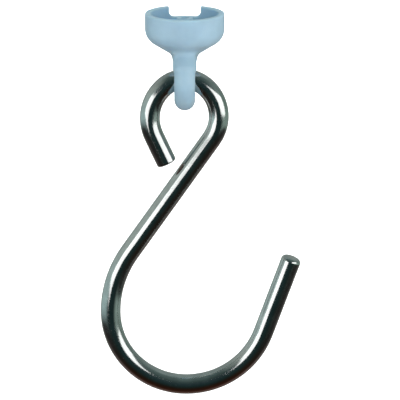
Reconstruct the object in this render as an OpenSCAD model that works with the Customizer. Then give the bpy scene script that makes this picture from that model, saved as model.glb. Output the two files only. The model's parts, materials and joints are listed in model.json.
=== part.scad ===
// Overhead-track meat hook: a moulded plastic glider with a steel S-hook hanging in its eye.
// The origin is on the glider's axis, level with where its underside rests on the track's lips.
// +Z is up, +X runs along the hole of the eye, and the hook hangs in the XZ plane.

/* [Glider head] */
// Outer diameter of the cup-shaped head
head_d = 23.5; // [23:0.5:24]
// Height of the straight outer wall, from the rim down
head_wall_h = 4.7; // [4.5:0.1:4.8]
// Radius of the rounded lower edge of the head
head_edge_r = 5; // [4.8:0.1:5.2]
// Slope of the head's underside below the horizontal, in degrees
underside_slope = 32; // [31:0.5:33]
// Radius of the hollow between the underside and the neck
neck_fillet_r = 3; // [2.8:0.1:3.2]
// Thickness of the cup's wall
cup_wall = 1.8; // [1.4:0.2:2.4]
// Depth of the cup's floor below the rim
cup_depth = 6.5; // [5:0.5:6.5]
// Radius of the corner between the cup's wall and floor
cup_corner_r = 1.5; // [0.5:0.5:2]

/* [Rear notch] */
// Width of the notch through the rear wall of the cup
notch_w = 9.4; // [8:0.2:12]
// Depth of the notch below the rim
notch_h = 3.2; // [2.4:0.2:4]
// Radius of the notch's lower corners
notch_corner_r = 1.6; // [0.8:0.2:2]

/* [Moulded boss] */
// Outer diameter of the boss that stands in the cup
boss_d = 4.8; // [4.4:0.2:6]
// Diameter of the blind core hole in the boss
boss_hole_d = 2.6; // [2:0.2:3]
// Distance from the rim down to the top of the boss
boss_drop = 1.4; // [1:0.2:2.4]
// Depth of the core hole below the top of the boss
boss_hole_depth = 8; // [5:0.5:8.5]

/* [Neck and eye] */
// Diameter of the neck that runs in the track's slot
neck_d = 7.3; // [7.1:0.1:7.5]
// Chamfer around the lower end of the neck, where the eye leaves it
neck_chamfer = 0.8; // [0.5:0.1:1]
// Diameter of the rounded bar that forms the eye
eye_bar_d = 6.2; // [5.8:0.1:6.4]
// Diameter of the hole in the eye
eye_hole_d = 7.8; // [7.6:0.1:8]
// Height from the wire's centre in the eye up to the rim of the head
rim_above_wire = 20; // [20:0.5:22]

/* [Hook wire] */
// Diameter of the round steel wire
wire_d = 6; // [5.6:0.1:6]
// Gap left between the wire and the bottom of the eye
wire_gap = 0.08; // [0.05:0.01:0.2]
// Rounding of the wire's cut end in the small loop
loop_end_round = 0.6; // [0.3:0.1:1]
// Rounding of the hook's tip
tip_round = 1.3; // [0.8:0.1:1.8]

/* [Small loop of the hook] */
// Centreline radius of the bend that rests in the eye
crown_r = 9; // [8.5:0.5:10]
// Angle of that bend on each side of its top, in degrees
crown_half = 40; // [38:1:42]
// Centreline radius of the loop on the side of its cut end
loop_end_side_r = 12.8; // [12.4:0.2:13.6]
// Angle of the loop on the side of its cut end, in degrees
loop_end_side_angle = 75; // [73:1:76]
// Straight length before the cut end
loop_end_l = 9.2; // [7:0.2:9.4]
// Centreline radius of the loop on the side of the shank
loop_shank_side_r = 12; // [11.8:0.2:13]

/* [Shank and main bend of the hook] */
// Lean of the shank from the vertical, in degrees
shank_lean = 35; // [34:1:38]
// Length of the straight shank
shank_l = 42.6; // [38:0.2:50]
// Centreline radius of the bend from the shank to the vertical
upper_bend_r = 32.4; // [28:0.2:36]
// Centreline radius of the quarter turn down to the bottom
lower_bend_r = 22.7; // [20:0.1:26]
// Centreline radius of the rise towards the tip
rise_bend_r = 24.7; // [20:0.1:28]
// Angle of that rise, in degrees
rise_angle = 70; // [66:1:76]
// Straight length of the tip
tip_l = 25; // [20:0.2:30]

/* [Hidden] */
$fn = 96;
wire_r = wire_d / 2;
head_r = head_d / 2;
neck_r = neck_d / 2;
eye_bar_r = eye_bar_d / 2;
eye_ring_r = eye_hole_d / 2 + eye_bar_r;
boss_r = boss_d / 2;

// Levels are measured up from the centre of the wire where it rests in the eye
eye_centre_level = eye_hole_d / 2 - wire_r - wire_gap;
edge_centre_level = rim_above_wire - head_wall_h;
cup_floor_level = rim_above_wire - cup_depth;
boss_top_level = rim_above_wire - boss_drop;

// The rounded edge runs into the sloping underside, and the slope into the hollow at the neck
slope_start_r = head_r - head_edge_r + head_edge_r * sin(underside_slope);
slope_start_level = edge_centre_level - head_edge_r * cos(underside_slope);
slope_end_r = neck_r + neck_fillet_r * (1 - sin(underside_slope));
slope_end_level = slope_start_level - (slope_start_r - slope_end_r) * tan(underside_slope);
fillet_centre_level = slope_end_level - neck_fillet_r * cos(underside_slope);

// The lips of the track touch the underside half way along its slope
seat_level = (slope_start_level + slope_end_level) / 2;

// Cuts run this far past the faces that they open
past = 1;

// Every second stretch of wire is thinner by seam and runs on by seam_run inside its neighbours
seam = 0.01;
seam_run = 0.2;

// Half outline of the outside of the head and neck
module head_outline() {
    difference() {
        union() {
            polygon([
                [0, fillet_centre_level - neck_chamfer],
                [neck_r - neck_chamfer, fillet_centre_level - neck_chamfer],
                [neck_r, fillet_centre_level],
                [slope_end_r, slope_end_level],
                [slope_start_r, slope_start_level],
                [head_r, edge_centre_level],
                [head_r, rim_above_wire],
                [0, rim_above_wire]
            ]);
            intersection() {
                translate([head_r - head_edge_r, edge_centre_level]) circle(r = head_edge_r);
                translate([0, edge_centre_level - head_edge_r]) square([head_r, head_edge_r]);
            }
        }
        translate([neck_r + neck_fillet_r, fillet_centre_level]) circle(r = neck_fillet_r);
    }
}

// Half outline of the hollow inside the cup
module cup_outline() {
    cup_r = head_r - cup_wall;
    translate([0, cup_floor_level]) {
        translate([0, cup_corner_r]) square([cup_r, cup_depth - cup_corner_r + past]);
        square([cup_r - cup_corner_r, cup_depth]);
        translate([cup_r - cup_corner_r, cup_corner_r]) circle(r = cup_corner_r);
    }
}

// Round-cornered notch through the rear wall of the cup
module rear_notch() {
    rise = notch_h + past;
    translate([0, head_r - notch_w / 2, rim_above_wire - notch_h]) rotate([90, 0, 0])
        linear_extrude(height = notch_w, center = true) {
            translate([-notch_w / 2, notch_corner_r]) square([notch_w, rise - notch_corner_r]);
            translate([notch_corner_r - notch_w / 2, 0]) square([notch_w - 2 * notch_corner_r, rise]);
            for (side = [-1, 1])
                translate([side * (notch_w / 2 - notch_corner_r), notch_corner_r])
                    circle(r = notch_corner_r);
        }
}

// Ring of round bar whose hole runs along X
module eye_ring() {
    translate([0, 0, eye_centre_level]) rotate([0, 90, 0])
        rotate_extrude() translate([eye_ring_r, 0]) circle(r = eye_bar_r);
}

module glider() {
    color([0.66, 0.77, 0.84]) translate([0, 0, -seat_level]) difference() {
        union() {
            difference() {
                rotate_extrude() head_outline();
                rotate_extrude() cup_outline();
                rear_notch();
            }
            translate([0, 0, cup_floor_level - past])
                cylinder(r = boss_r, h = boss_top_level - cup_floor_level + past);
            eye_ring();
        }
        translate([0, 0, boss_top_level - boss_hole_depth])
            cylinder(r = boss_hole_d / 2, h = boss_hole_depth + past);
    }
}

// Straight wire along +X, then whatever follows it
module straight(length) {
    rotate([0, 90, 0]) cylinder(r = wire_r, h = length);
    translate([length, 0, 0]) children();
}

// Wire of radius r bent in the XY plane, to the left for a positive angle, then whatever follows it.
// Both of its ends run on along the same circle for the length given by into.
module bend(radius, angle, r = wire_r, into = 0) {
    side = sign(angle);
    extra = into / radius * 180 / PI;
    start = side > 0 ? -90 : 90 + angle;
    translate([0, side * radius, 0]) {
        rotate([0, 0, start - extra]) rotate_extrude(angle = abs(angle) + 2 * extra)
            translate([radius, 0]) circle(r = r);
        rotate([0, 0, angle]) translate([0, -side * radius, 0]) children();
    }
}

// A bend that is a hair thinner and runs into the full wire at both of its ends
module joining_bend(radius, angle) {
    bend(radius, angle, wire_r - seam, seam_run) children();
}

// Straight wire along +X whose far end has a rounded edge
module rounded_end(length, edge) {
    rotate([0, 90, 0]) rotate_extrude() {
        square([wire_r, length - edge]);
        square([wire_r - edge, length]);
        intersection() {
            translate([wire_r - edge, length - edge]) circle(r = edge);
            square([wire_r, length]);
        }
    }
}

module s_hook() {
    color([0.56, 0.58, 0.58]) translate([0, 0, -seat_level]) rotate([90, 0, 0])
        translate([0, -crown_r, 0]) {
            rotate([0, 0, crown_half]) translate([0, crown_r, 0])
                bend(crown_r, -2 * crown_half)
                joining_bend(loop_shank_side_r, crown_half - 90 - shank_lean)
                straight(shank_l)
                joining_bend(upper_bend_r, shank_lean)
                bend(lower_bend_r, 90)
                joining_bend(rise_bend_r, rise_angle)
                rounded_end(tip_l, tip_round);
            rotate([0, 0, crown_half]) translate([0, crown_r, 0]) mirror([1, 0, 0])
                joining_bend(loop_end_side_r, -loop_end_side_angle)
                rounded_end(loop_end_l, loop_end_round);
        }
}

glider();
s_hook();
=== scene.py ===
"""Looks for the gliding meat hook: a moulded glider and a bent wire hook, built around the CAD frame."""
import itertools
import json
import math

import bpy
import numpy as np
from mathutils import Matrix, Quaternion, Vector


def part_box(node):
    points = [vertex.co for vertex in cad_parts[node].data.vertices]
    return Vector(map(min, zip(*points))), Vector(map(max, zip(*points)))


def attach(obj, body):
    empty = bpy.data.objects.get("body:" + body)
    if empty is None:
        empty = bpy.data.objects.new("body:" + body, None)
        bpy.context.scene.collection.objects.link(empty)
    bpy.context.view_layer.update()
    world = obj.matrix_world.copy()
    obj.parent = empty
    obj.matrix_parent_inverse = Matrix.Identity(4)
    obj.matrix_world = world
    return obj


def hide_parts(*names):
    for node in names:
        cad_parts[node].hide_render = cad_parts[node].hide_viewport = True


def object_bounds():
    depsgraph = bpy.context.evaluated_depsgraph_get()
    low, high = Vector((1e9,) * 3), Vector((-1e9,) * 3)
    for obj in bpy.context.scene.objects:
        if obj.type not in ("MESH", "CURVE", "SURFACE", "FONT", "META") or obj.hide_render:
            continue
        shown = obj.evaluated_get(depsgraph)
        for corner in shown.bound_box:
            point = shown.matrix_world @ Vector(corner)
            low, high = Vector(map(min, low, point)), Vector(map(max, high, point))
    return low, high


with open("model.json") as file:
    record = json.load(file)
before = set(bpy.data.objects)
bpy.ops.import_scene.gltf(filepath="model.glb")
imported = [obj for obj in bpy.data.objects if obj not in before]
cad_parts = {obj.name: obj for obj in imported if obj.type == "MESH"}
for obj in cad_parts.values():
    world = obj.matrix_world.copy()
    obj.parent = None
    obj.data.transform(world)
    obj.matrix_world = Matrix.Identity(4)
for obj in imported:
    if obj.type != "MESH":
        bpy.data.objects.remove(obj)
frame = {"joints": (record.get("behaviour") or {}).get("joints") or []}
cad_low, cad_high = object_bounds()

MM = 0.001
TINY = 1e-12
rng = np.random.default_rng(7)

# Places that come from the frame, in millimetres
eye_wire_z = frame["joints"][0]["pos_m"][2] / MM
_, glider_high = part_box("glider")
rim_level = glider_high.z / MM - eye_wire_z
head_r = glider_high.x / MM

# Glider sizes in millimetres, as in the CAD model
WALL_H = 4.7
EDGE_R = 5.0
SLOPE = math.radians(32)
NECK_FILLET_R = 3.0
CUP_WALL = 1.8
CUP_DEPTH = 6.5
CUP_CORNER_R = 1.5
NOTCH_W = 9.4
NOTCH_H = 3.2
NOTCH_CORNER_R = 1.6
BOSS_R = 2.4
BOSS_HOLE_R = 1.3
BOSS_DROP = 1.4
BOSS_HOLE_DEPTH = 8.0
NECK_R = 3.65
NECK_CHAMFER = 0.8
EYE_BAR_R = 3.1
EYE_HOLE_R = 3.9
EYE_RING_R = EYE_HOLE_R + EYE_BAR_R

# Height of the eye's centre above the wire's, which hangs this gap clear of the eye
WIRE_R = 3.0
WIRE_GAP = 0.08
EYE_CENTRE = EYE_HOLE_R - WIRE_R - WIRE_GAP

# Softened edges of the moulding, which the CAD model leaves sharp
RIM_EDGE_R = 0.35
NECK_FOOT_EDGE_R = 0.3
NOTCH_SOFTNESS = 0.5
BOSS_FOOT_R = 0.5
BOSS_EDGE_R = 0.3
BOSS_HOLE_EDGE_R = 0.2
BOSS_HOLE_END_R = 0.4

# Draft of the boss and of its hole from end to end
BOSS_DRAFT = 0.12
BOSS_HOLE_DRAFT = 0.1

# The notch is cut only behind the boss, from this far off its side
NOTCH_TO_BOSS = 2

# The eye's bar is EYE_SKIN thinner than the CAD's, and swells by EYE_SHOULDER up to the neck, between
# two heights given as sines of the angle at the eye's centre
EYE_SKIN = 0.02
EYE_SHOULDER = 0.42
SHOULDER_STARTS, SHOULDER_FULL = 0.3, 0.5

# The eye blends tightly into the neck at its sides, and widely into the head in front and behind
TIGHT_BLEND, WIDER_BLEND = 0.5, 2.0
BLEND_STARTS, BLEND_FULL = 3.0, 6.0

# Hook sizes in millimetres and degrees, as in the CAD model
LOOP_END_L = 9.2
CROWN_R, CROWN_ANGLE = 9.0, 80.0
LOOP_END_SIDE_R, LOOP_END_SIDE_ANGLE = 12.8, 75.0
LOOP_SHANK_SIDE_R = 12.0
SHANK_LEAN, SHANK_L = 35.0, 42.6
UPPER_BEND_R, LOWER_BEND_R = 32.4, 22.7
RISE_R, RISE_ANGLE = 24.7, 70.0
TIP_L, TIP_ROUND = 25.0, 1.3
LOOP_END_ROUND = 0.6

# The bends ease in and out over about this far, as wire bent over a former does
BEND_EASE = 0.8

# Unevenness of drawn wire: the surface stays between 0 and 2 * WAVER below the CAD's
WAVER = 0.010
WAVER_COUNT = 26
WAVER_SHORTEST, WAVER_LONGEST = 7, 38


# ---------------------------------------------------------------- mesh helpers

def new_piece(name, verts_mm, faces, material, body, node):
    """A smooth-shaded mesh piece that stands for a CAD node and rides on its body."""
    mesh = bpy.data.meshes.new(name)
    mesh.from_pydata((np.asarray(verts_mm) * MM).tolist(), [], faces)
    mesh.validate()
    mesh.polygons.foreach_set("use_smooth", [True] * len(mesh.polygons))
    mesh.materials.append(material)
    piece = bpy.data.objects.new(name, mesh)
    bpy.context.scene.collection.objects.link(piece)
    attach(piece, body)
    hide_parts(node)
    return piece


def rounded_outline(corners, arc_step=math.radians(6)):
    """Points of an outline whose corners (x, y, radius) are rounded with true arcs."""
    points = []
    count = len(corners)
    for i, (x, y, radius) in enumerate(corners):
        here = np.array([x, y])
        before = np.array(corners[i - 1][:2]) - here
        after = np.array(corners[(i + 1) % count][:2]) - here
        if radius == 0:
            points.append(here)
            continue
        before /= np.linalg.norm(before)
        after /= np.linalg.norm(after)
        half = math.acos(float(np.clip(before @ after, -1, 1))) / 2
        bisector = (before + after) / np.linalg.norm(before + after)
        centre = here + bisector * radius / math.sin(half)
        start = here + before * radius / math.tan(half) - centre
        end = here + after * radius / math.tan(half) - centre
        sweep = math.pi - 2 * half
        turn = math.copysign(sweep, start[0] * end[1] - start[1] * end[0])
        steps = max(2, math.ceil(sweep / arc_step))
        for t in np.linspace(0, turn, steps + 1):
            c, s = math.cos(t), math.sin(t)
            points.append(centre + np.array([c * start[0] - s * start[1], s * start[0] + c * start[1]]))
    return np.array(points)


def outline_distance(points, px, py):
    """Signed distance from places (px, py) to a closed outline, negative inside."""
    best = np.full(px.shape, np.inf)
    inside = np.zeros(px.shape, bool)
    for (ax, ay), (bx, by) in zip(points, np.roll(points, -1, axis=0)):
        ex, ey = bx - ax, by - ay
        length2 = ex * ex + ey * ey
        if length2 < TINY:
            continue
        t = np.clip(((px - ax) * ex + (py - ay) * ey) / length2, 0, 1)
        best = np.minimum(best, np.hypot(px - ax - t * ex, py - ay - t * ey))
        if ay != by:
            crosses = ((ay > py) != (by > py)) & (px < ex * (py - ay) / ey + ax)
            inside ^= crosses
    return np.where(inside, -best, best)


def smooth_min(a, b, k):
    """The lesser of two distances, rounded over where they differ by less than k."""
    h = np.maximum(k - np.abs(a - b), 0) / k
    return np.minimum(a, b) - h * h * k / 4


def smooth_max(a, b, k):
    """The greater of two distances, rounded over where they differ by less than k."""
    return -smooth_min(-a, -b, k)


def smooth_step(x, low, high):
    """Eases from 0 at low to 1 at high."""
    t = np.clip((x - low) / (high - low), 0, 1)
    return t * t * (3 - 2 * t)


def surface_net(field, low, step, shape):
    """Quads on the zero surface of field, one vertex in each grid cell that the surface crosses."""
    axes = [low[k] + step * np.arange(shape[k]) for k in range(3)]
    values = field(*np.meshgrid(*axes, indexing="ij"))
    solid = values < 0
    cells = tuple(n - 1 for n in shape)
    corners = list(itertools.product((0, 1), repeat=3))
    filled = np.zeros(cells, np.int8)
    for corner in corners:
        filled += solid[tuple(slice(d, d + n) for d, n in zip(corner, cells))]
    active = np.argwhere((filled > 0) & (filled < 8))
    index = -np.ones(cells, np.int64)
    index[tuple(active.T)] = np.arange(len(active))
    total = np.zeros((len(active), 3))
    hits = np.zeros(len(active))
    for a in corners:
        for axis in range(3):
            if a[axis]:
                continue
            b = list(a)
            b[axis] = 1
            va = values[tuple((active + a).T)]
            vb = values[tuple((active + b).T)]
            cut = (va < 0) != (vb < 0)
            t = np.where(cut, va / np.where(cut, va - vb, 1), 0)
            place = np.array(a, float)[None].repeat(len(active), 0)
            place[:, axis] += t
            total[cut] += place[cut]
            hits[cut] += 1
    verts = np.array(low) + step * (active + total / hits[:, None])
    faces = []
    for axis in range(3):
        u, v = (axis + 1) % 3, (axis + 2) % 3
        first = [slice(None)] * 3
        second = [slice(None)] * 3
        first[axis], second[axis] = slice(0, -1), slice(1, None)
        sa, sb = solid[tuple(first)], solid[tuple(second)]
        edges = np.argwhere(sa != sb)
        off_wall = (edges[:, [u, v]] > 0) & (edges[:, [u, v]] < (cells[u], cells[v]))
        edges = edges[off_wall.all(1)]
        leaving = sa[tuple(edges.T)]
        ring = []
        for du, dv in ((1, 1), (0, 1), (0, 0), (1, 0)):
            cell = edges.copy()
            cell[:, u] -= du
            cell[:, v] -= dv
            ring.append(index[tuple(cell.T)])
        quad = np.stack(ring, 1)
        quad[~leaving] = quad[~leaving][:, ::-1]
        faces.append(quad)
    return verts, np.vstack(faces)


def settle(verts, faces, field, rounds=4, pulls=3, eps=0.02, least_slope2=0.25):
    """Evens out a net and draws its vertices onto the zero surface of field."""
    pairs = np.vstack([faces[:, [i, (i + 1) % 4]] for i in range(4)])
    near = np.zeros(len(verts))
    np.add.at(near, pairs[:, 0], 1)
    np.add.at(near, pairs[:, 1], 1)
    for turn in range(rounds):
        if turn < rounds - 1:
            mean = np.zeros_like(verts)
            np.add.at(mean, pairs[:, 0], verts[pairs[:, 1]])
            np.add.at(mean, pairs[:, 1], verts[pairs[:, 0]])
            verts = verts + 0.5 * (mean / near[:, None] - verts)
        for _ in range(pulls):
            here = field(*verts.T)
            nudges = eps * np.eye(3)
            changes = [field(*(verts + nudge).T) - field(*(verts - nudge).T) for nudge in nudges]
            slope = np.stack([change / (2 * eps) for change in changes], 1)
            size2 = np.maximum((slope**2).sum(1), least_slope2)
            verts = verts - (here / size2)[:, None] * slope
    return verts


# ---------------------------------------------------------------- glider

def turned_outline():
    """Half outline of the head, cup, boss and neck, with levels above the wire's centre in the eye.

    It runs on past the axis on the far side, so that the axis itself is never an edge.
    """
    wall_foot = rim_level - WALL_H
    slope_r = head_r - EDGE_R + EDGE_R * math.sin(SLOPE)
    slope_z = wall_foot - EDGE_R * math.cos(SLOPE)

    def on_slope(radius):
        return slope_z - (slope_r - radius) * math.tan(SLOPE)

    cup_r = head_r - CUP_WALL
    floor = rim_level - CUP_DEPTH
    boss_top = rim_level - BOSS_DROP
    neck_foot = on_slope(NECK_R) - NECK_FILLET_R * math.tan((math.pi / 2 - SLOPE) / 2) - NECK_CHAMFER
    hole_floor = boss_top - BOSS_HOLE_DEPTH
    past = 4
    return rounded_outline([
        (-NECK_R, neck_foot, 0),
        (NECK_R - NECK_CHAMFER, neck_foot, NECK_FOOT_EDGE_R),
        (NECK_R, neck_foot + NECK_CHAMFER, 0),
        (NECK_R, on_slope(NECK_R), NECK_FILLET_R),
        (head_r, on_slope(head_r), EDGE_R),
        (head_r, rim_level, RIM_EDGE_R),
        (cup_r, rim_level, RIM_EDGE_R),
        (cup_r, floor, CUP_CORNER_R),
        (BOSS_R + BOSS_DRAFT, floor, BOSS_FOOT_R),
        (BOSS_R, boss_top, BOSS_EDGE_R),
        (BOSS_HOLE_R, boss_top, BOSS_HOLE_EDGE_R),
        (BOSS_HOLE_R - BOSS_HOLE_DRAFT, hole_floor, BOSS_HOLE_END_R),
        (-BOSS_HOLE_R, hole_floor, 0),
        (-BOSS_HOLE_R, rim_level + past, 0),
        (-NECK_R - past, rim_level + past, 0),
        (-NECK_R - past, neck_foot, 0),
    ])


def notch_distance(x, y, z):
    """Signed distance to the round-cornered notch through the rear wall of the cup."""
    off_x = np.abs(x) - NOTCH_W / 2 + NOTCH_CORNER_R
    off_z = rim_level - NOTCH_H - z + NOTCH_CORNER_R
    corner = np.hypot(np.maximum(off_x, 0), np.maximum(off_z, 0))
    notch = corner + np.minimum(np.maximum(off_x, off_z), 0) - NOTCH_CORNER_R
    return np.maximum(notch, BOSS_R + NOTCH_TO_BOSS - y)


def eye_distance(x, y, z):
    """Signed distance to the ring of round bar, whose hole runs along X."""
    from_centre = np.hypot(y, z - EYE_CENTRE)
    upward = (z - EYE_CENTRE) / np.maximum(from_centre, TINY)
    bar = EYE_BAR_R - EYE_SKIN + EYE_SHOULDER * smooth_step(upward, SHOULDER_STARTS, SHOULDER_FULL)
    return np.hypot(from_centre - EYE_RING_R, x) - bar


def glider_field():
    """Signed distance of the whole moulding, with levels above the wire's centre in the eye."""
    outline = turned_outline()
    neck_foot = outline[0][1]

    # Distances to the outline are worked out once, on a grid around the head and neck
    step = 0.08
    widest, under, over = 18, 4, 2
    radii = np.arange(-2 * step, widest, step)
    levels = np.arange(neck_foot - under, rim_level + over, step)
    table = outline_distance(outline, *np.meshgrid(radii, levels, indexing="ij"))

    def lathe(r, z):
        """Distance to the turned shape, read between the grid's points and growing steadily below it."""
        to_last = 1.001
        u = np.clip((r - radii[0]) / step, 0, len(radii) - to_last)
        v = np.clip((z - levels[0]) / step, 0, len(levels) - to_last)
        i, j = u.astype(int), v.astype(int)
        a, b = u - i, v - j
        low = table[i, j] * (1 - a) + table[i + 1, j] * a
        high = table[i, j + 1] * (1 - a) + table[i + 1, j + 1] * a
        below = np.maximum(levels[0] - z, 0)
        return low * (1 - b) + high * b + below

    def field(x, y, z):
        body = smooth_max(lathe(np.hypot(x, y), z), -notch_distance(x, y, z), NOTCH_SOFTNESS)
        blend = TIGHT_BLEND + WIDER_BLEND * smooth_step(np.abs(y), BLEND_STARTS, BLEND_FULL)
        return smooth_min(body, eye_distance(x, y, z), blend)

    return field


def build_glider(material):
    """The whole moulding as one closed mesh, with its rim cut flat."""
    field = glider_field()
    step = 0.21
    margin = 3 * step
    eye_bottom = EYE_CENTRE - EYE_RING_R - EYE_BAR_R
    low = np.array([-head_r - margin, -head_r - margin, eye_bottom - margin])
    high = np.array([head_r + margin, head_r + margin, rim_level + margin])
    shape = tuple(int(n) for n in np.ceil((high - low) / step) + 1)
    verts, faces = surface_net(field, low, step, shape)
    verts = settle(verts, faces, field)
    verts[:, 2] = np.minimum(verts[:, 2], rim_level) + eye_wire_z
    faces = faces.tolist()
    return new_piece("glider_moulding", verts, faces, material, "glider", "glider")


# ---------------------------------------------------------------- hook

def hook_centreline(step):
    """Places and headings along the wire in the XZ plane, from the cut end of the loop to the tip."""
    def arc(radius, degrees, side):
        return radius * math.radians(degrees), side / radius

    stretches = [
        (LOOP_END_L, 0),
        arc(LOOP_END_SIDE_R, LOOP_END_SIDE_ANGLE, -1),
        arc(CROWN_R, CROWN_ANGLE, -1),
        arc(LOOP_SHANK_SIDE_R, 90 + SHANK_LEAN - CROWN_ANGLE / 2, -1),
        (SHANK_L, 0),
        arc(UPPER_BEND_R, SHANK_LEAN, 1),
        arc(LOWER_BEND_R, 90, 1),
        arc(RISE_R, RISE_ANGLE, 1),
        (TIP_L, 0),
    ]
    lengths = np.array([a for a, _ in stretches])
    turns = np.array([a * c for a, c in stretches])
    ends = np.concatenate([[0], np.cumsum(lengths)])
    start = math.radians(LOOP_END_SIDE_ANGLE + CROWN_ANGLE / 2)
    finer = 8
    fine = np.linspace(0, ends[-1], finer * int(ends[-1] / step))
    small = fine[1] - fine[0]
    heading = np.interp(fine, ends, start + np.concatenate([[0], np.cumsum(turns)]))

    # A bell-shaped average of the headings eases each bend
    spread = BEND_EASE / small
    reach = np.arange(-int(4 * spread), int(4 * spread) + 1)
    kernel = np.exp(-0.5 * (reach / spread) ** 2)
    padded = np.pad(heading, len(reach) // 2, mode="edge")
    heading = np.convolve(padded, kernel / kernel.sum(), mode="valid")

    between = (heading[1:] + heading[:-1]) / 2
    x = np.concatenate([[0], np.cumsum(np.cos(between) * small)])
    z = np.concatenate([[0], np.cumsum(np.sin(between) * small)])

    # The middle of the crown is where the wire rests in the eye
    crown = ends[2] + lengths[2] / 2
    x -= np.interp(crown, fine, x)
    z -= np.interp(crown, fine, z)
    along = np.linspace(0, ends[-1], int(ends[-1] / step))
    x, z, heading = (np.interp(along, fine, values) for values in (x, z, heading))
    return along, x, z + eye_wire_z, heading


def end_rings(edge, rings=7):
    """(inset from the wire's end, radius) for the rounded edge of a cut end, from the side inwards."""
    steps = [math.radians(90) * (i + 1) / rings for i in range(rings)]
    return [(edge * (1 - math.sin(a)), WIRE_R - edge * (1 - math.cos(a))) for a in steps]


def wire_rings(along):
    """Places along the wire and radii of the rings that it is swept through, from cut end to tip."""
    length = along[-1]
    start = list(reversed(end_rings(LOOP_END_ROUND)))
    end = [(length - inset, radius) for inset, radius in end_rings(TIP_ROUND)]

    # Smaller rings fill the flat of each end
    start = [(0.0, start[0][1] * part) for part in (0.25, 0.5, 0.75, 0.92)] + start
    end = end + [(length, end[-1][1] * part) for part in (0.9, 0.65, 0.4, 0.2)]

    between = along[(along > LOOP_END_ROUND) & (along < length - TIP_ROUND)]
    side = [LOOP_END_ROUND, *between, length - TIP_ROUND]
    return np.array(start + [(place, WIRE_R) for place in side] + end).T


def drawn_waver(places, angles):
    """How far the drawn surface lies off WIRE_R, which makes the reflections in it waver."""
    waver = np.zeros((len(places), len(angles)))
    for _ in range(WAVER_COUNT):
        turns = rng.integers(1, 4)
        length = rng.uniform(WAVER_SHORTEST, WAVER_LONGEST)
        phase = rng.uniform(0, 2 * math.pi, 2)
        lengthwise = np.sin(2 * math.pi * places[:, None] / length + phase[1])
        waver += np.sin(turns * angles[None] + phase[0]) * lengthwise
    return WAVER * waver / np.abs(waver).max() - WAVER


def wire_faces(places, around):
    """Faces of a swept wire closed by a pole at each end, with UVs of turn around and length along."""
    faces, uvs = [], []
    for i in range(len(places) - 1):
        here, there = i * around, (i + 1) * around
        v0, v1 = places[i], places[i + 1]
        for j in range(around):
            k = (j + 1) % around
            u0, u1 = j / around, (j + 1) / around
            faces.append((here + j, there + j, there + k, here + k))
            uvs.append(((u0, v0), (u0, v1), (u1, v1), (u1, v0)))
    last_ring = (len(places) - 1) * around
    start_pole = len(places) * around
    tip_pole = start_pole + 1
    for j in range(around):
        k = (j + 1) % around
        u0, u1 = j / around, (j + 1) / around
        faces.append((start_pole, j, k))
        uvs.append(((u0, places[0]), (u0, places[0]), (u1, places[0])))
        faces.append((tip_pole, last_ring + k, last_ring + j))
        uvs.append(((u0, places[-1]), (u1, places[-1]), (u0, places[-1])))
    return faces, uvs


def build_hook(material):
    """Round wire swept along the centreline as one closed mesh."""
    along, x, z, heading = hook_centreline(step=0.45)
    around = 56
    angles = np.arange(around) * 2 * math.pi / around
    places, radii = wire_rings(along)
    x, z, heading = (np.interp(places, along, values)[:, None] for values in (x, z, heading))
    on_side = (radii > WIRE_R - WAVER)[:, None]
    radius = radii[:, None] + np.where(on_side, drawn_waver(places, angles), -WAVER)
    in_plane = radius * np.cos(angles)[None]
    across = radius * np.sin(angles)[None]
    rings = np.stack([x - np.sin(heading) * in_plane, across, z + np.cos(heading) * in_plane], 2)
    poles = [[x[0, 0], 0, z[0, 0]], [x[-1, 0], 0, z[-1, 0]]]
    verts = np.vstack([rings.reshape(-1, 3), poles])
    faces, uvs = wire_faces(places, around)
    piece = new_piece("hook_wire", verts, faces, material, "hook", "s_hook")
    layer = piece.data.uv_layers.new(name="wire")
    layer.data.foreach_set("uv", [value for face in uvs for uv in face for value in uv])
    return piece


# ---------------------------------------------------------------- materials

def node_material(name):
    """A new material with its nodes, its links and its Principled shader."""
    material = bpy.data.materials.new(name)
    material.use_nodes = True
    nodes = material.node_tree.nodes
    return material, nodes, material.node_tree.links, nodes["Principled BSDF"]


def add_noise(nodes, links, vector, scale, detail, roughness=0.55):
    """Cloudy noise with about scale patches to each unit of vector."""
    noise = nodes.new("ShaderNodeTexNoise")
    noise.inputs["Scale"].default_value = scale
    noise.inputs["Detail"].default_value = detail
    noise.inputs["Roughness"].default_value = roughness
    links.new(vector, noise.inputs["Vector"])
    return noise.outputs["Fac"]


def add_ramp(nodes, links, fac, stops):
    """A colour ramp through (place, colour) stops."""
    ramp = nodes.new("ShaderNodeValToRGB")
    elements = ramp.color_ramp.elements
    while len(elements) < len(stops):
        elements.new(0.5)
    for element, (place, colour) in zip(elements, stops):
        element.position = place
        element.color = (*colour, 1)
    links.new(fac, ramp.inputs["Fac"])
    return ramp.outputs["Color"]


def grey(value):
    return (value, value, value)


def add_bump(nodes, links, height, strength, distance, under=None):
    """A bump of distance metres at full height, on top of the normal given by under."""
    bump = nodes.new("ShaderNodeBump")
    bump.inputs["Strength"].default_value = strength
    bump.inputs["Distance"].default_value = distance
    links.new(height, bump.inputs["Height"])
    if under is not None:
        links.new(under, bump.inputs["Normal"])
    return bump.outputs["Normal"]


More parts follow.
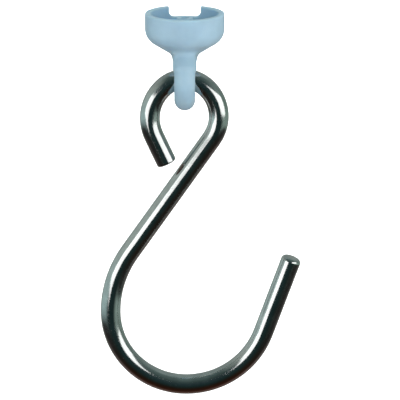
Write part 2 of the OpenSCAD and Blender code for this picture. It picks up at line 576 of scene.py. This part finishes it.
def plastic_material():
    """Milky pale-blue moulded plastic, a little cloudy, with a fine moulded skin."""
    material, nodes, links, shader = node_material("glider_plastic")
    place = nodes.new("ShaderNodeTexCoord").outputs["Object"]
    cloud = add_noise(nodes, links, place, 160, 3)
    colour = add_ramp(nodes, links, cloud, [(0.30, (0.41, 0.58, 0.70)), (0.70, (0.47, 0.65, 0.77))])
    links.new(colour, shader.inputs["Base Color"])
    gloss = add_noise(nodes, links, place, 700, 4)
    rough = add_ramp(nodes, links, gloss, [(0.3, grey(0.30)), (0.7, grey(0.44))])
    links.new(rough, shader.inputs["Roughness"])
    skin = add_noise(nodes, links, place, 5200, 2)
    ripple = add_noise(nodes, links, place, 420, 2)
    normal = add_bump(nodes, links, ripple, 0.25, 0.00010)
    links.new(add_bump(nodes, links, skin, 0.12, 0.00002, normal), shader.inputs["Normal"])
    shader.inputs["IOR"].default_value = 1.49
    shader.inputs["Subsurface Weight"].default_value = 0.7
    shader.inputs["Subsurface Radius"].default_value = (0.7, 0.9, 1.0)
    shader.inputs["Subsurface Scale"].default_value = 0.0022
    return material


def steel_material():
    """Bright drawn steel wire: lengthwise die lines, faint clouding and small handling marks."""
    material, nodes, links, shader = node_material("hook_steel")
    uv = nodes.new("ShaderNodeUVMap")
    uv.uv_map = "wire"
    place = nodes.new("ShaderNodeTexCoord").outputs["Object"]

    def stretched(u_scale, v_scale):
        mapping = nodes.new("ShaderNodeMapping")
        mapping.inputs["Scale"].default_value = (u_scale, v_scale, 1)
        links.new(uv.outputs["UV"], mapping.inputs["Vector"])
        return mapping.outputs["Vector"]

    lines = add_noise(nodes, links, stretched(150, 0.10), 1.0, 3)
    fine_lines = add_noise(nodes, links, stretched(420, 0.35), 1.0, 2)
    cloud = add_noise(nodes, links, place, 240, 4)
    marks = add_noise(nodes, links, place, 1500, 3, 0.7)
    colour = add_ramp(nodes, links, cloud, [(0.35, (0.60, 0.61, 0.60)), (0.65, (0.72, 0.73, 0.72))])
    links.new(colour, shader.inputs["Base Color"])
    shader.inputs["Metallic"].default_value = 1.0
    rough = add_ramp(nodes, links, marks, [(0.40, grey(0.13)), (0.62, grey(0.17)), (0.72, grey(0.27))])
    links.new(rough, shader.inputs["Roughness"])
    normal = add_bump(nodes, links, lines, 0.10, 0.00002)
    links.new(add_bump(nodes, links, fine_lines, 0.08, 0.00001, normal), shader.inputs["Normal"])
    return material


def floor_material():
    """Plain pale matte paper with a faint glow of its own, so that it looks evenly lit."""
    material, nodes, links, shader = node_material("floor_paper")
    place = nodes.new("ShaderNodeTexCoord").outputs["Object"]
    grain = add_noise(nodes, links, place, 30, 2)
    colour = add_ramp(nodes, links, grain, [(0.3, grey(0.90)), (0.7, grey(0.92))])
    links.new(colour, shader.inputs["Base Color"])
    links.new(colour, shader.inputs["Emission Color"])
    shader.inputs["Emission Strength"].default_value = 0.75
    shader.inputs["Roughness"].default_value = 0.9
    shader.inputs["Specular IOR Level"].default_value = 0.1
    return material


# ---------------------------------------------------------------- stage, light and camera

def build_floor():
    """A wide floor well below the hook, which doesn't light it, show in it or stop light from below."""
    drop = 0.09
    level = cad_low.z - drop
    half = 8.0
    corners = [(-half, -half, level), (half, -half, level), (half, half, level), (-half, half, level)]
    mesh = bpy.data.meshes.new("floor")
    mesh.from_pydata(corners, [], [(0, 1, 2, 3)])
    mesh.materials.append(floor_material())
    floor = bpy.data.objects.new("floor", mesh)
    bpy.context.scene.collection.objects.link(floor)
    floor.visible_glossy = False
    floor.visible_diffuse = False
    floor.visible_shadow = False


def add_panel(name, azimuth, elevation, distance, width, height, power, roll=0, glossy=True):
    """A soft rectangular light that faces the hook, never seen by the camera itself.

    Azimuth 0 is in front (-Y) and grows to the right. Angles are in degrees, lengths in metres and
    power in watts. A panel that isn't glossy lights surfaces but doesn't show in them.
    """
    az, el = math.radians(azimuth), math.radians(elevation)
    away = Vector((math.sin(az) * math.cos(el), -math.cos(az) * math.cos(el), math.sin(el)))
    data = bpy.data.lights.new(name, "AREA")
    data.shape = "RECTANGLE"
    data.size, data.size_y = width, height
    data.energy = power
    light = bpy.data.objects.new(name, data)
    light.location = middle + away * distance
    light.rotation_mode = "QUATERNION"
    light.rotation_quaternion = away.to_track_quat("Z", "Y") @ Quaternion((0, 0, 1), math.radians(roll))
    light.visible_camera = False
    light.visible_glossy = glossy
    bpy.context.scene.collection.objects.link(light)


def build_world():
    """A room for the steel to mirror: dark in front and below, grey behind, paler at both sides.

    The camera sees plain white instead. Each ramp runs from straight down to straight up.
    """
    world = bpy.data.worlds.new("studio")
    bpy.context.scene.world = world
    world.use_nodes = True
    nodes, links = world.node_tree.nodes, world.node_tree.links
    nodes.clear()
    place = nodes.new("ShaderNodeTexCoord").outputs["Generated"]
    split = nodes.new("ShaderNodeSeparateXYZ")
    links.new(place, split.inputs["Vector"])

    def to_unit(value):
        scale = nodes.new("ShaderNodeMapRange")
        scale.inputs["From Min"].default_value = -1
        links.new(value, scale.inputs["Value"])
        return scale.outputs["Result"]

    height, depth, side = (to_unit(split.outputs[axis]) for axis in ("Z", "Y", "X"))

    def blend(fac, a, b):
        mix = nodes.new("ShaderNodeMix")
        mix.data_type = "RGBA"
        links.new(fac, mix.inputs["Factor"])
        links.new(a, mix.inputs["A"])
        links.new(b, mix.inputs["B"])
        return mix.outputs["Result"]

    front = add_ramp(nodes, links, height, [
        (0.00, (0.036, 0.010, 0.005)),
        (0.15, (0.016, 0.010, 0.006)),
        (0.36, (0.010, 0.026, 0.026)),
        (0.62, (0.020, 0.040, 0.044)),
        (0.80, (0.045, 0.075, 0.072)),
        (1.00, (0.110, 0.160, 0.155)),
    ])
    rear = add_ramp(nodes, links, height, [
        (0.00, (0.120, 0.070, 0.055)),
        (0.12, (0.160, 0.120, 0.110)),
        (0.45, (0.260, 0.290, 0.275)),
        (1.00, (0.230, 0.300, 0.290)),
    ])
    left = add_ramp(nodes, links, height, [
        (0.30, (0.020, 0.018, 0.018)),
        (0.39, (0.400, 0.550, 0.550)),
        (0.75, (0.380, 0.430, 0.400)),
        (1.00, (0.110, 0.160, 0.155)),
    ])
    right = add_ramp(nodes, links, height, [
        (0.27, (0.020, 0.018, 0.018)),
        (0.31, (0.280, 0.380, 0.340)),
        (0.50, (0.170, 0.240, 0.210)),
        (0.75, (0.150, 0.200, 0.190)),
        (1.00, (0.110, 0.160, 0.155)),
    ])
    to_rear = add_ramp(nodes, links, depth, [(0.42, grey(0)), (0.60, grey(1))])
    to_left = add_ramp(nodes, links, side, [(0.07, grey(1)), (0.25, grey(0))])
    to_right = add_ramp(nodes, links, side, [(0.75, grey(0)), (0.93, grey(1))])
    around = blend(to_right, blend(to_left, blend(to_rear, front, rear), left), right)
    room = nodes.new("ShaderNodeBackground")
    links.new(around, room.inputs["Color"])
    paper = nodes.new("ShaderNodeBackground")
    paper.inputs["Color"].default_value = (1, 1, 1, 1)
    seen = nodes.new("ShaderNodeLightPath")
    choose = nodes.new("ShaderNodeMixShader")
    links.new(seen.outputs["Is Camera Ray"], choose.inputs["Fac"])
    links.new(room.outputs["Background"], choose.inputs[1])
    links.new(paper.outputs["Background"], choose.inputs[2])
    out = nodes.new("ShaderNodeOutputWorld")
    links.new(choose.outputs["Shader"], out.inputs["Surface"])


def build_camera():
    """In front of the hook, a little above it, with a long lens."""
    elevation = math.radians(14.4)
    distance = 1.15
    seen_width = 0.1194
    # The picture's centre lies a little above the middle of the object
    aim = middle + Vector((-0.00005, 0, 0.0017))
    back = Vector((0, -math.cos(elevation), math.sin(elevation)))
    data = bpy.data.cameras.new("camera")
    data.sensor_width = 36
    data.lens = data.sensor_width * distance / seen_width
    data.clip_start, data.clip_end = 0.01, 50
    camera = bpy.data.objects.new("camera", data)
    camera.location = aim + back * distance
    camera.rotation_mode = "QUATERNION"
    camera.rotation_quaternion = back.to_track_quat("Z", "Y")
    bpy.context.scene.collection.objects.link(camera)
    bpy.context.scene.camera = camera


middle = (cad_low + cad_high) / 2
bpy.context.scene.view_settings.view_transform = "Standard"
build_camera()
build_world()
build_floor()

# The steel mirrors these two panels
add_panel("panel_left", -42, 2, 0.40, 0.30, 0.17, 0.25, roll=-25)
add_panel("panel_right", 53, 8, 0.40, 0.41, 0.21, 0.39)

# The rest light the plastic and stay out of every reflection
add_panel("overhead", 150, 70, 2.4, 4.0, 4.0, 40, glossy=False)
add_panel("front_fill", 8, -18, 1.2, 0.9, 0.9, 7.0, glossy=False)
add_panel("front_high", 6, 26, 1.2, 0.7, 0.7, 3.2, glossy=False)
add_panel("side_fill_left", -95, 0, 1.2, 0.9, 0.9, 3.0, glossy=False)
add_panel("side_fill_right", 95, 0, 1.2, 0.9, 0.9, 3.0, glossy=False)
add_panel("rear_fill", 175, 15, 1.2, 0.9, 0.9, 5.5, glossy=False)

build_glider(plastic_material())
build_hook(steel_material())
